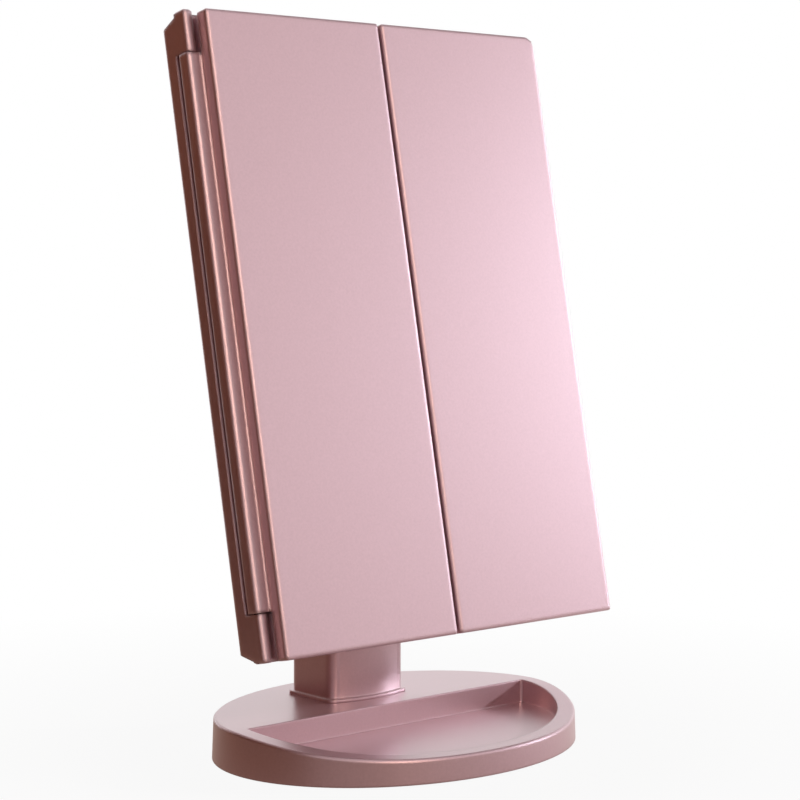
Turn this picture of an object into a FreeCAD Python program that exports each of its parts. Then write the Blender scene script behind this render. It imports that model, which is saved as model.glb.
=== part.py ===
import FreeCAD, Part
import math
import os

Vector = FreeCAD.Vector
ALONG_X = Vector(1, 0, 0)
ALONG_Y = Vector(0, 1, 0)
ALONG_Z = Vector(0, 0, 1)
SPARE = 5.0
PARALLEL = 1e-6
NEAR = 1e-3

# A three-panel make-up mirror, closed. Millimetres; +X is the viewer's right, -Y the front, +Z up.
# The origin is the middle of the oval foot, on the table.

# Foot: an oval shell with a level deck at the back and a rim that sweeps down round the tray.
base_length = 158.6
base_width = 121.6
deck_height = 16.0
front_rim_height = 9.4
wall_draft = 0.6
rim_width = 6.8
rim_bevel = 0.7
rim_flat = 1.8
rim_level = 2.4
tray_back = 3.6
tray_depth = 9.6
tray_corner = 1.2
base_wall = 2.4
plate_thickness = 2.0
plate_seat = 2.0
plate_clearance = 0.2
foot_drop = 0.8
pad_radius = 6.0
pad_across = 40.0
pad_along = 40.0

# Neck: bowed front, rounded corners, a thin flared foot, and an eye for the tilt pin.
neck_width = 38.4
neck_depth = 27.0
neck_corner = 4.0
neck_bow = 2.5
neck_centre = 30.2
neck_straight = 20.0
neck_bend_radius = 34.0
flange_reach = 1.3
flange_height = 1.4

# Tilt joint.
rest_tilt = 11.7
pin_radius = 3.0
running_clearance = 0.05
side_clearance = 0.3
lug_thickness = 4.0
lug_radius = 11.0
lug_root = 18.0
pivot_behind = 20.8
pivot_up = 44.0
bracket_thickness = 3.0
bracket_half_width = 31.0
bracket_half_height = 23.0
bracket_corner = 6.0
pin_head_radius = 5.4
pin_head_height = 2.4
nut_floor = 0.5

# Head, in its own frame: X across, Y back from the doors' front face, Z up from the doors' foot.
panel_height = 240.0
panel_width = 167.4
head_front = -36.5
head_lift = 49.5
seam_gap = 1.6
door_thickness = 5.6
door_edge_radius = 1.0
right_door_corner = 4.5
door_skin = 1.8
door_rim = 2.2
door_gap = 0.8
bezel_lip = 0.9
bezel_border = 5.0
bezel_bar = 5.0
pane_overlap = 0.6
pane_thickness = 2.0
pane_clearance = 0.1
magnifier_radius = 2400.0

# Door hinges: a square-fronted barrel on each door between two knuckles on the housing.
hinge_offset = 3.3
hinge_set_back = 3.9
barrel_side = 3.0
barrel_front = 3.5
barrel_lap = 0.2
barrel_edge_radius = 1.6
barrel_inner_radius = 1.2
barrel_back_radius = 2.5
hinge_web = 2.6
hinge_web_reach = 0.1
hinge_clearance = 0.35
swing_clearance = 0.7
lower_knuckle = 17.7
upper_knuckle = 14.9
knuckle_gap = 0.4
knuckle_edge_radius = 1.4
knuckle_tip_bevel = 0.7
knuckle_rise = 1.0
hinge_pin_radius = 1.5
hinge_pin_grip = 12.0

# Housing and front frame.
frame_inset = 2.7
frame_thickness = 2.6
frame_bevel = 0.5
frame_lip = 0.8
frame_end_border = 12.0
frame_side_border = 8.0
light_strip_width = 12.5
window_bar = 2.0
skirt_depth = 2.5
skirt_wall = 1.5
housing_back = 21.6
housing_wall = 2.0
housing_inset = 4.4
housing_edge_radius = 3.0
ledge_clearance = 0.4
wing_wall = 2.2
fit_clearance = 0.2

# Lights and electronics.
board_thickness = 1.0
led_board_width = 10.0
led_well = 5.2
led_rail_wall = 1.4
led_width = 2.8
led_length = 3.5
led_height = 0.8
side_led_count = 8
top_led_count = 5
touch_side = 15.0
touch_thickness = 0.4
touch_up = 26.0
control_board_width = 24.0
control_board_height = 36.0
control_board_thickness = 1.6
control_board_across = 46.0
control_board_up = 34.0
control_board_gap = 4.0
standoff_side = 4.0
usb_width = 7.6
usb_height = 2.8
usb_wall = 0.4
usb_tongue = 0.7
usb_offset = -9.0
usb_recess = 0.6
switch_offset = 8.0
switch_body_width = 4.4
switch_body_length = 9.6
switch_body_depth = 3.2
switch_wall = 0.6
knob_width = 2.6
knob_length = 4.0
knob_proud = 1.4
knob_ridge = 0.5
knob_ridge_count = 3
switch_travel = 3.0
switch_play = 0.3

# Battery bay: a tub for four small cells under a lid in a raised panel on the back.
bay_width = 46.4
bay_length = 52.0
bay_depth = 12.2
bay_wall = 1.4
bay_centre = 110.0
cell_count = 4
cell_rib = 0.8
cell_rib_height = 2.4
hump_height = 4.8
hump_border = 10.0
hump_corner = 7.0
hump_bevel = 2.0
lid_border = 3.2
lid_thickness = 1.6
lid_corner = 3.0
lid_grip_width = 14.0
lid_grip_depth = 0.6
lid_grip_count = 4
lid_grip_pitch = 2.4
contact_thickness = 0.4
contact_width = 8.4
contact_height = 9.0
contact_bow = 3.0

# Values that follow from the sizes above.
bottom_edge = foot_drop
deck_top = bottom_edge + deck_height
tray_floor = deck_top - tray_depth
plate_top = bottom_edge + plate_thickness
deck_under = deck_top - base_wall
eye_radius = (neck_depth + neck_bow) / 2
eye_half_width = neck_width / 2
half_panel = panel_width / 2
hinge_x = half_panel + hinge_offset
hinge_y = door_thickness + hinge_set_back
barrel_sweep = math.hypot(barrel_side - barrel_edge_radius, barrel_front - barrel_edge_radius)
channel_radius = barrel_sweep + barrel_edge_radius + hinge_clearance
upper_knuckle_foot = panel_height - upper_knuckle
barrel_bottom = lower_knuckle + knuckle_gap
barrel_top = upper_knuckle_foot - knuckle_gap
ledge_y = hinge_y + hinge_set_back + ledge_clearance
knuckle_reach = hinge_offset - swing_clearance
housing_half = hinge_x + knuckle_reach
frame_front = door_thickness + door_gap
frame_back = frame_front + frame_thickness
frame_half = half_panel - frame_inset
pane_front = frame_front + frame_lip
pane_back = pane_front + pane_thickness
inner_back = housing_back - housing_wall
pivot_y = housing_back + pivot_behind
pivot_z = pivot_up
hump_back = housing_back + hump_height
bay_floor = hump_back - lid_thickness - bay_depth
bay_bottom = bay_centre - bay_length / 2
bay_top = bay_centre + bay_length / 2
strip_outer = frame_half - frame_side_border
strip_inner = strip_outer - light_strip_width
mirror_half = strip_inner - window_bar
windows_bottom = frame_end_border
windows_top = panel_height - frame_end_border
top_strip_bottom = windows_top - light_strip_width
mirror_top = top_strip_bottom - window_bar
led_board_front = pane_back + led_well
led_board_back = led_board_front + board_thickness
control_front = inner_back - control_board_gap - control_board_thickness
control_back = inner_back - control_board_gap
head_place = FreeCAD.Placement(
    Vector(0, head_front, bottom_edge + head_lift), FreeCAD.Rotation(ALONG_X, -rest_tilt)
)
pivot = head_place.multVec(Vector(0, pivot_y, pivot_z))


def block(x_from, x_to, y_from, y_to, z_from, z_to):
    """A box between two opposite corners."""
    corner = Vector(x_from, y_from, z_from)
    return Part.makeBox(x_to - x_from, y_to - y_from, z_to - z_from, corner)


def edges_along(shape, direction):
    """The straight edges of a shape that run along a direction."""
    picked = []
    for edge in shape.Edges:
        if not isinstance(edge.Curve, Part.Line):
            continue
        if edge.tangentAt(edge.FirstParameter).cross(direction).Length < PARALLEL:
            picked.append(edge)
    return picked


def edges_at_depth(shape, depth):
    """The edges of a shape that lie in the plane Y = depth."""
    picked = []
    for edge in shape.Edges:
        box = edge.BoundBox
        if abs(box.YMin - depth) < NEAR and abs(box.YMax - depth) < NEAR:
            picked.append(edge)
    return picked


def edges_at_height(shape, height):
    """The edges of a shape that lie in the plane Z = height."""
    picked = []
    for edge in shape.Edges:
        box = edge.BoundBox
        if abs(box.ZMin - height) < NEAR and abs(box.ZMax - height) < NEAR:
            picked.append(edge)
    return picked


def upright_edges(shape, x, y):
    """The upright edge of a bar that stands at one corner of its section."""
    picked = []
    for edge in edges_along(shape, ALONG_Z):
        box = edge.BoundBox
        if abs(box.XMin - x) < NEAR and abs(box.YMin - y) < NEAR:
            picked.append(edge)
    return picked


def panel(x_from, x_to, y_from, y_to, z_from, z_to, corner):
    """A plate that faces along Y, with its four corners rounded."""
    plate = block(x_from, x_to, y_from, y_to, z_from, z_to)
    return plate.makeFillet(corner, edges_along(plate, ALONG_Y))


def rod(radius, start, direction, length):
    """A round bar from a start point along a direction."""
    return Part.makeCylinder(radius, length, start, direction)


def mirrored(shape):
    """The same piece on the other side of the head."""
    return shape.mirror(Vector(0, 0, 0), ALONG_X)


def in_head(shape):
    """Moves a piece from the head's own frame to its place on the neck, leaning back."""
    moved = shape.copy()
    moved.Placement = head_place.multiply(moved.Placement)
    return moved


def group(solids):
    """Several equal pieces as one node."""
    return Part.makeCompound(solids)


def oval(inset, height):
    """The foot's outline, drawn in by an inset, at a height."""
    ring = Part.Ellipse(Vector(0, 0, height), base_length / 2 - inset, base_width / 2 - inset)
    return Part.Wire([ring.toShape()])


def oval_prism(inset, z_from, z_to):
    """An upright oval block."""
    return Part.Face(oval(inset, z_from)).extrude(Vector(0, 0, z_to - z_from))


def above_rim():
    """All the room above the foot: level over the deck, then an S-curve down to the front."""
    front = -base_width / 2 + rim_flat
    back = tray_back + rim_level
    third = (back - front) / 3
    low = bottom_edge + front_rim_height
    reach = base_width
    ceiling = deck_top + 2 * SPARE
    sweep = Part.BezierCurve()
    sweep.setPoles([
        Vector(-base_length, front, low),
        Vector(-base_length, front + third, low),
        Vector(-base_length, back - third, deck_top),
        Vector(-base_length, back, deck_top),
    ])
    corners = [
        Vector(-base_length, back, deck_top),
        Vector(-base_length, reach, deck_top),
        Vector(-base_length, reach, ceiling),
        Vector(-base_length, -reach, ceiling),
        Vector(-base_length, -reach, low),
        Vector(-base_length, front, low),
    ]
    edges = [sweep.toShape()]
    edges += [Part.LineSegment(a, b).toShape() for a, b in zip(corners, corners[1:])]
    return Part.Face(Part.Wire(edges)).extrude(Vector(2 * base_length, 0, 0))


def rim_edges(shape):
    """The edges where the foot's top meets its outer wall."""
    picked = []
    for edge in shape.Edges:
        middle = edge.valueAt((edge.FirstParameter + edge.LastParameter) / 2)
        slope = edge.tangentAt((edge.FirstParameter + edge.LastParameter) / 2)
        inset = wall_draft * (middle.z - bottom_edge) / deck_height
        across = middle.x / (base_length / 2 - inset)
        along = middle.y / (base_width / 2 - inset)
        on_wall = abs(math.hypot(across, along) - 1) < NEAR
        if on_wall and middle.z > bottom_edge + NEAR and abs(slope.z) < abs(slope.x) + abs(slope.y):
            picked.append(edge)
    return picked


def tray_room():
    """The room inside the tray: a half oval with a straight back and two rounded corners."""
    room = oval_prism(rim_width + wall_draft, tray_floor, deck_top + SPARE)
    half = block(-base_length, base_length, -base_width, tray_back, tray_floor, deck_top + SPARE)
    room = room.common(half)
    corners = [edge for edge in edges_at_depth(room, tray_back) if edge.BoundBox.XLength < NEAR]
    return room.makeFillet(tray_corner, corners)


def base_room():
    """The hollow under the foot: a seat for the plate all round, and a room behind the tray."""
    seat = oval_prism(plate_seat, bottom_edge - SPARE, plate_top)
    deep = oval_prism(plate_seat + base_wall, plate_top, deck_under)
    behind = block(
        -base_length, base_length, tray_back + base_wall, base_width, plate_top - SPARE, deck_top
    )
    return seat.fuse(deep.common(behind))


def make_base_shell():
    """The foot's upper moulding."""
    taper = wall_draft * (deck_height + SPARE) / deck_height
    body = Part.makeLoft([oval(0, bottom_edge), oval(taper, deck_top + SPARE)], True, True)
    body = body.cut(above_rim())
    body = body.makeChamfer(rim_bevel, rim_edges(body))
    return body.cut(tray_room()).cut(base_room()).removeSplitter()


def pad_places():
    """Where the four rubber feet sit."""
    return [(x, y) for x in (-pad_across, pad_across) for y in (-pad_along, pad_along)]


def make_base_plate():
    """The plate that closes the foot from below."""
    return oval_prism(plate_seat + plate_clearance, bottom_edge, plate_top)


def make_base_feet():
    """Four rubber pads stuck under the plate."""
    return group([rod(pad_radius, Vector(x, y, 0), ALONG_Z, foot_drop) for x, y in pad_places()])


def neck_section(grow, height):
    """The neck's level section: straight back and sides, round corners, bowed front."""
    x = neck_width / 2 + grow
    back = eye_radius + grow
    front = neck_bow - eye_radius - grow
    r = neck_corner
    s = r * (1 - math.sqrt(0.5))
    outline = [
        Part.LineSegment(Vector(r - x, back), Vector(x - r, back)),
        Part.Arc(Vector(x - r, back), Vector(x - s, back - s), Vector(x, back - r)),
        Part.LineSegment(Vector(x, back - r), Vector(x, front + r)),
        Part.Arc(Vector(x, front + r), Vector(x - s, front + s), Vector(x - r, front)),
        Part.Arc(Vector(x - r, front), Vector(0, front - neck_bow), Vector(r - x, front)),
        Part.Arc(Vector(r - x, front), Vector(s - x, front + s), Vector(-x, front + r)),
        Part.LineSegment(Vector(-x, front + r), Vector(-x, back - r)),
        Part.Arc(Vector(-x, back - r), Vector(s - x, back - s), Vector(r - x, back)),
    ]
    wire = Part.Wire([edge.toShape() for edge in outline])
    wire.translate(Vector(0, neck_centre, height))
    return wire


def neck_stem():
    """The neck's stem: an upright, an elbow that bends forward, and an arm that runs to the tilt pin."""
    elbow_foot = deck_top + neck_straight
    hub = Vector(0, neck_centre - neck_bend_radius, elbow_foot)
    reach = pivot - hub
    bend = math.atan2(reach.z, reach.y) - math.acos(neck_bend_radius / reach.Length)
    arm_length = math.sqrt(reach.Length ** 2 - neck_bend_radius ** 2)
    upright = Part.Face(neck_section(0, deck_top)).extrude(ALONG_Z * neck_straight)
    section = Part.Face(neck_section(0, elbow_foot))
    elbow = section.revolve(hub, ALONG_X, math.degrees(bend))
    section.rotate(hub, ALONG_X, math.degrees(bend))
    arm = section.extrude(Vector(0, -math.sin(bend), math.cos(bend)) * arm_length)
    return upright.fuse([elbow, arm])


def neck_flange():
    """The thin lip where the neck stands on the deck."""
    return Part.Face(neck_section(flange_reach, deck_top)).extrude(ALONG_Z * flange_height)


def make_neck_post():
    """The neck with the eye for the tilt pin."""
    left = pivot - ALONG_X * eye_half_width
    eye = rod(eye_radius, left, ALONG_X, 2 * eye_half_width)
    bore = rod(pin_radius + running_clearance, left - ALONG_X * SPARE, ALONG_X, 4 * eye_half_width)
    return neck_stem().fuse([neck_flange(), eye]).cut(bore).removeSplitter()


def lug_inner():
    """Distance from the middle of the head to the inside of a bracket lug."""
    return eye_half_width + side_clearance


def make_tilt_bracket():
    """The bracket on the housing's back: a screwed plate with two lugs for the tilt pin."""
    face = housing_back + bracket_thickness
    body = panel(
        -bracket_half_width, bracket_half_width, housing_back, face,
        pivot_z - bracket_half_height, pivot_z + bracket_half_height, bracket_corner,
    )
    for side in (-1, 1):
        inner = side * lug_inner()
        outline = Part.makePolygon([
            Vector(inner, face - NEAR, pivot_z - lug_root),
            Vector(inner, pivot_y, pivot_z - lug_radius),
            Vector(inner, pivot_y, pivot_z + lug_radius),
            Vector(inner, face - NEAR, pivot_z + lug_root),
            Vector(inner, face - NEAR, pivot_z - lug_root),
        ])
        cheek = Part.Face(outline).extrude(ALONG_X * (side * lug_thickness))
        eye = rod(lug_radius, Vector(inner, pivot_y, pivot_z), ALONG_X * side, lug_thickness)
        body = body.fuse([cheek, eye])
    width = lug_inner() + lug_thickness + SPARE
    bore = rod(
        pin_radius + running_clearance, Vector(-width, pivot_y, pivot_z), ALONG_X, 2 * width
    )
    return body.cut(bore).removeSplitter()


def make_tilt_pin():
    """The steel pin through the lugs and the neck's eye, with a round head on the right."""
    reach = lug_inner() + lug_thickness
    start = Vector(-reach - pin_head_height, pivot_y, pivot_z)
    shank = rod(pin_radius, start, ALONG_X, 2 * reach + pin_head_height)
    head = rod(pin_head_radius, Vector(reach, pivot_y, pivot_z), ALONG_X, pin_head_height)
    return shank.fuse(head).removeSplitter()


def make_tilt_nut():
    """The push-on cap that keeps the pin in."""
    face = Vector(-lug_inner() - lug_thickness, pivot_y, pivot_z)
    cap = rod(pin_head_radius, face, ALONG_X * -1, pin_head_height + nut_floor)
    return cap.cut(rod(pin_radius + running_clearance, face, ALONG_X * -1, pin_head_height))


def end_inset(depth):
    """How far the housing's sloping ends have come in at a depth behind the hinges."""
    return housing_inset * (depth - hinge_y) / (housing_back - hinge_y)


def housing_slab(x_from, x_to, depths):
    """The housing between two widths, with a pair of low and high points at each depth."""
    low = [Vector(x_from, depth, inset) for depth, inset in depths]
    high = [Vector(x_from, depth, panel_height - inset) for depth, inset in reversed(depths)]
    outline = Part.makePolygon(low + high + low[:1])
    return Part.Face(outline).extrude(ALONG_X * (x_to - x_from))


def front_wall(x_from, x_to):
    """The housing's front part between two widths, as far back as the ledge."""
    meet = ledge_y + NEAR
    return housing_slab(x_from, x_to, [(frame_back, 0), (hinge_y, 0), (meet, end_inset(meet))])


def knuckle(z_from, z_to, rise):
    """One hinge knuckle at the housing's left edge, flat in front and round inside, with its root."""
    x_to = knuckle_reach - hinge_x
    y_from = hinge_y - barrel_front
    bar = block(-housing_half, x_to, y_from, hinge_y + knuckle_reach, z_from, z_to + rise)
    bar = bar.makeFillet(knuckle_edge_radius, upright_edges(bar, -housing_half, y_from))
    bar = bar.makeFillet(knuckle_reach, upright_edges(bar, x_to, y_from))
    tip = z_to + rise if rise else z_from
    bar = bar.makeChamfer(knuckle_tip_bevel, edges_at_height(bar, tip))
    span = block(-housing_half, -frame_half, hinge_y, ledge_y + SPARE, z_from, z_to)
    return bar.fuse(front_wall(-housing_half, -frame_half).common(span))


def hinge_bore(z_from, z_to):
    """A hole for a hinge pin on the left."""
    radius = hinge_pin_radius + running_clearance
    return rod(radius, Vector(-hinge_x, hinge_y, z_from), ALONG_Z, z_to - z_from)


def pin_spans():
    """The heights between which the lower and the upper hinge pin reach."""
    low = (lower_knuckle - hinge_pin_grip, barrel_bottom + hinge_pin_grip)
    high = (barrel_top - hinge_pin_grip, upper_knuckle_foot + hinge_pin_grip)
    return [low, high]


def housing_outside():
    """The housing's outer form: rounded back tray, narrower front wall, knuckles and battery hump."""
    back = housing_slab(-housing_half, housing_half,
                        [(ledge_y, end_inset(ledge_y)), (housing_back, housing_inset)])
    back = back.makeFillet(housing_edge_radius, edges_at_depth(back, housing_back))
    front = front_wall(-frame_half, frame_half)
    hump = panel(
        -bay_width / 2 - hump_border, bay_width / 2 + hump_border,
        inner_back, hump_back, bay_bottom - hump_border, bay_top + hump_border, hump_corner,
    )
    hump = hump.makeChamfer(hump_bevel, edges_at_depth(hump, hump_back))
    knuckles = [knuckle(0, lower_knuckle, 0), knuckle(upper_knuckle_foot, panel_height, knuckle_rise)]
    knuckles += [mirrored(piece) for piece in knuckles]
    return back.fuse([front, hump] + knuckles)


def housing_room():
    """The hollow inside the housing: a mouth for the frame's skirt, the room and shallow side wings."""
    wall = housing_wall
    mouth = block(wall - frame_half, frame_half - wall, frame_back - SPARE,
                  frame_back + skirt_depth + fit_clearance, wall, panel_height - wall)
    inset = wall + housing_inset
    middle = block(wall - frame_half, frame_half - wall, frame_back - SPARE, inner_back,
                   inset, panel_height - inset)
    wings = block(
        wing_wall - housing_half, housing_half - wing_wall,
        hinge_y + channel_radius + wing_wall, inner_back, lower_knuckle, upper_knuckle_foot,
    )
    return middle.fuse([mouth, wings])


def hinge_channel():
    """The round groove in the left edge that the door's barrel turns in."""
    return rod(
        channel_radius, Vector(-hinge_x, hinge_y, lower_knuckle), ALONG_Z,
        upper_knuckle_foot - lower_knuckle,
    )


def battery_tub():
    """The walls and floor of the battery bay."""
    return block(
        -bay_width / 2 - bay_wall, bay_width / 2 + bay_wall, bay_floor - bay_wall, inner_back + NEAR,
        bay_bottom - bay_wall, bay_top + bay_wall,
    )


def battery_room():
    """The room for the cells, with the seat for the lid."""
    room = block(-bay_width / 2, bay_width / 2, bay_floor, hump_back + SPARE, bay_bottom, bay_top)
    seat = lid_plate(fit_clearance, hump_back - lid_thickness, hump_back + SPARE)
    return room.fuse(seat)


def lid_plate(grow, y_from, y_to):
    """The battery lid's outline as a plate."""
    half = bay_width / 2 + lid_border + grow
    return panel(-half, half, y_from, y_to, bay_bottom - lid_border - grow,
                 bay_top + lid_border + grow, lid_corner)


def cell_ribs():
    """The low ribs between the cells."""
    pitch = bay_width / cell_count
    places = [pitch * (index + 1) - bay_width / 2 for index in range(cell_count - 1)]
    return [
        block(x - cell_rib / 2, x + cell_rib / 2, bay_floor - NEAR, bay_floor + cell_rib_height,
              bay_bottom + contact_bow + SPARE, bay_top - contact_bow - SPARE)
        for x in places
    ]


def led_rails():
    """Rails on the housing's floor that carry the three light boards."""
    rails = []
    edge = led_board_width / 2 - led_rail_wall
    middle = (strip_inner + strip_outer) / 2
    for x in (middle - edge, middle + edge):
        rail = block(x - led_rail_wall / 2, x + led_rail_wall / 2, led_board_back,
                     inner_back + NEAR, windows_bottom, windows_top)
        rails += [rail, mirrored(rail)]
    level = (top_strip_bottom + windows_top) / 2
    for z in (level - edge, level + edge):
        rails.append(block(-mirror_half, mirror_half, led_board_back, inner_back + NEAR,
                           z - led_rail_wall / 2, z + led_rail_wall / 2))
    return rails


def standoffs():
    """The square posts that carry the control board's corners."""
    across = (control_board_width - standoff_side) / 2
    up = (control_board_height - standoff_side) / 2
    half = standoff_side / 2
    return [
        block(control_board_across + x - half, control_board_across + x + half, control_back,
              inner_back + NEAR, control_board_up + z - half, control_board_up + z + half)
        for x in (-across, across) for z in (-up, up)
    ]


def back_openings():
    """The holes in the housing's back for the charging socket and the switch."""
    x = control_board_across
    usb_z = control_board_up + usb_offset
    wide = usb_width / 2 + fit_clearance
    tall = usb_height / 2 + fit_clearance
    socket = block(x - wide, x + wide, control_back, housing_back + SPARE, usb_z - tall, usb_z + tall)
    switch_z = control_board_up + switch_offset
    wide = knob_width / 2 + switch_play
    low = switch_z - knob_length / 2 - switch_play
    high = switch_z + knob_length / 2 + switch_travel + switch_play
    slot = block(x - wide, x + wide, control_back, housing_back + SPARE, low, high)
    return [socket, slot]


def make_rear_housing():
    """The head's back moulding."""
    inside = standoffs() + led_rails() + [battery_tub()]
    body = housing_outside().cut(housing_room()).fuse(inside)
    holes = [battery_room(), hinge_channel(), mirrored(hinge_channel())] + back_openings()
    for low, high in pin_spans():
        holes += [hinge_bore(low, high), mirrored(hinge_bore(low, high))]
    return body.cut(holes).fuse(cell_ribs()).removeSplitter()


def window(x_from, x_to, z_from, z_to):
    """One opening of the front frame: a lip at the front and a wider seat for the pane behind."""
    grow = pane_overlap + pane_clearance
    lip = block(x_from, x_to, frame_front - SPARE, frame_back + SPARE, z_from, z_to)
    seat = block(x_from - grow, x_to + grow, pane_front, frame_back + SPARE, z_from - grow, z_to + grow)
    return lip.fuse(seat)


def pane(x_from, x_to, z_from, z_to):
    """A pane that sits behind the lip of one opening."""
    grow = pane_overlap
    return block(x_from - grow, x_to + grow, pane_front, pane_back, z_from - grow, z_to + grow)


def light_windows():
    """The three light strips round the middle mirror: left, right and top."""
    return [
        (-strip_outer, -strip_inner, windows_bottom, windows_top),
        (strip_inner, strip_outer, windows_bottom, windows_top),
        (-mirror_half, mirror_half, top_strip_bottom, windows_top),
    ]


def make_front_frame():
    """The frame round the middle mirror and its light strips, with a skirt that snaps into the housing."""
    plate = block(-frame_half, frame_half, frame_front, frame_back, 0, panel_height)
    plate = plate.makeChamfer(frame_bevel, edges_at_depth(plate, frame_front))
    gap = housing_wall + fit_clearance
    outer = block(gap - frame_half, frame_half - gap, frame_back - NEAR, frame_back + skirt_depth,
                  gap, panel_height - gap)
    gap += skirt_wall
    inner = block(gap - frame_half, frame_half - gap, frame_back - SPARE, frame_back + SPARE,
                  gap, panel_height - gap)
    holes = [window(*place) for place in light_windows()]
    holes.append(window(-mirror_half, mirror_half, windows_bottom, mirror_top))
    return plate.fuse(outer.cut(inner)).cut(holes).removeSplitter()


def make_centre_mirror():
    """The middle mirror."""
    return pane(-mirror_half, mirror_half, windows_bottom, mirror_top)


def make_light_diffusers():
    """The milky strips in front of the lights."""
    return group([pane(*place) for place in light_windows()])


def light_boards():
    """The centre lines of the three light boards: centre, half width and half height."""
    middle = (strip_inner + strip_outer) / 2
    centre = (windows_bottom + windows_top) / 2
    tall = (windows_top - windows_bottom) / 2
    level = (top_strip_bottom + windows_top) / 2
    half = led_board_width / 2
    return [
        (-middle, centre, half, tall),
        (middle, centre, half, tall),
        (0, level, mirror_half, half),
    ]


def make_led_boards():
    """The three light boards."""
    return group([
        block(x - wide, x + wide, led_board_front, led_board_back, z - tall, z + tall)
        for x, z, wide, tall in light_boards()
    ])


def make_led_chips():
    """The lights: a row on each side board and a shorter one on the top board."""
    front = led_board_front - led_height
    chips = []
    left, right, top = light_boards()
    step = 2 * left[3] / side_led_count
    for board in (left, right):
        for index in range(side_led_count):
            z = board[1] - board[3] + step * (index + 0.5)
            chips.append(block(board[0] - led_width / 2, board[0] + led_width / 2, front,
                               led_board_front, z - led_length / 2, z + led_length / 2))
    step = 2 * top[2] / top_led_count
    for index in range(top_led_count):
        x = top[0] - top[2] + step * (index + 0.5)
        chips.append(block(x - led_length / 2, x + led_length / 2, front, led_board_front,
                           top[1] - led_width / 2, top[1] + led_width / 2))
    return group(chips)


def make_touch_electrode():
    """The copper pad behind the mirror that senses a finger."""
    half = touch_side / 2
    return block(-half, half, pane_back, pane_back + touch_thickness, touch_up - half, touch_up + half)


def make_control_board():
    """The board that carries the switch and the charging socket."""
    x = control_board_across
    z = control_board_up
    return block(x - control_board_width / 2, x + control_board_width / 2, control_front, control_back,
                 z - control_board_height / 2, z + control_board_height / 2)


def make_usb_socket():
    """The charging socket: a metal shell with a tongue, open at the housing's back."""
    x = control_board_across
    z = control_board_up + usb_offset
    end = housing_back - usb_recess
    shell = panel(x - usb_width / 2, x + usb_width / 2, control_back, end,
                  z - usb_height / 2, z + usb_height / 2, usb_height / 4)
    room = block(x - usb_width / 2 + usb_wall, x + usb_width / 2 - usb_wall, control_back + usb_wall,
                 end + SPARE, z - usb_height / 2 + usb_wall, z + usb_height / 2 - usb_wall)
    tongue = block(x - usb_width / 4, x + usb_width / 4, control_back + usb_wall - NEAR,
                   end - usb_wall, z - usb_tongue / 2, z + usb_tongue / 2)
    return shell.cut(room).fuse(tongue).removeSplitter()


def make_switch_body():
    """The slide switch's case on the control board."""
    x = control_board_across
    z = control_board_up + switch_offset + switch_travel / 2
    case = block(x - switch_body_width / 2, x + switch_body_width / 2, control_back,
                 control_back + switch_body_depth, z - switch_body_length / 2, z + switch_body_length / 2)
    wide = knob_width / 2 + switch_play
    tall = (knob_length + switch_travel) / 2 + switch_play
    slot = block(x - wide, x + wide, control_back + switch_wall, control_back + SPARE,
                 z - tall, z + tall)
    return case.cut(slot)


def make_switch_knob():
    """The ridged knob that slides up to switch on."""
    x = control_board_across
    z = control_board_up + switch_offset
    start = control_back + switch_wall + switch_play
    end = housing_back + knob_proud
    knob = block(x - knob_width / 2, x + knob_width / 2, start, end, z - knob_length / 2,
                 z + knob_length / 2)
    pitch = knob_length / knob_ridge_count
    grooves = []
    for index in range(knob_ridge_count):
        low = z - knob_length / 2 + pitch * index + knob_ridge / 2
        grooves.append(block(x - knob_width, x + knob_width, end - knob_ridge, end + SPARE,
                             low, low + pitch - knob_ridge))
    return knob.cut(grooves)


def make_battery_cover():
    """The lid of the battery bay, with grip grooves."""
    lid = lid_plate(0, hump_back - lid_thickness, hump_back)
    grooves = []
    for index in range(lid_grip_count):
        z = bay_bottom + lid_border + lid_grip_pitch * index
        grooves.append(block(-lid_grip_width / 2, lid_grip_width / 2, hump_back - lid_grip_depth,
                             hump_back + SPARE, z, z + lid_grip_pitch / 2))
    return lid.cut(grooves)


def contact_plate(x, end, inward, sprung):
    """A contact at one end of a cell: a flat plate, with a bent leaf where it is sprung."""
    half = contact_width / 2
    face = end + inward * contact_thickness
    top = bay_floor + contact_height
    plate = block(x - half, x + half, bay_floor, top, min(end, face), max(end, face))
    if not sprung:
        return plate
    root = face - inward * NEAR
    tip = face + inward * contact_bow
    slant = contact_thickness * 2
    leaf = Part.makePolygon([
        Vector(x - half, bay_floor, root),
        Vector(x - half, bay_floor + contact_height / 2, tip),
        Vector(x - half, top, root),
        Vector(x - half, top - slant, root),
        Vector(x - half, bay_floor + contact_height / 2, tip - inward * contact_thickness),
        Vector(x - half, bay_floor + slant, root),
        Vector(x - half, bay_floor, root),
    ])
    return plate.fuse(Part.Face(leaf).extrude(ALONG_X * contact_width)).removeSplitter()


def make_battery_contacts():
    """Eight contacts: plain and sprung ends alternate from cell to cell."""
    contacts = []
    pitch = bay_width / cell_count
    for index in range(cell_count):
        x = pitch * (index + 0.5) - bay_width / 2
        sprung_low = index % 2 == 0
        contacts.append(contact_plate(x, bay_bottom, 1, sprung_low))
        contacts.append(contact_plate(x, bay_top, -1, not sprung_low))
    return group(contacts)


def door_edges():
    """The left door's outer and inner edge, along X."""
    return -half_panel, -seam_gap / 2


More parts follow.
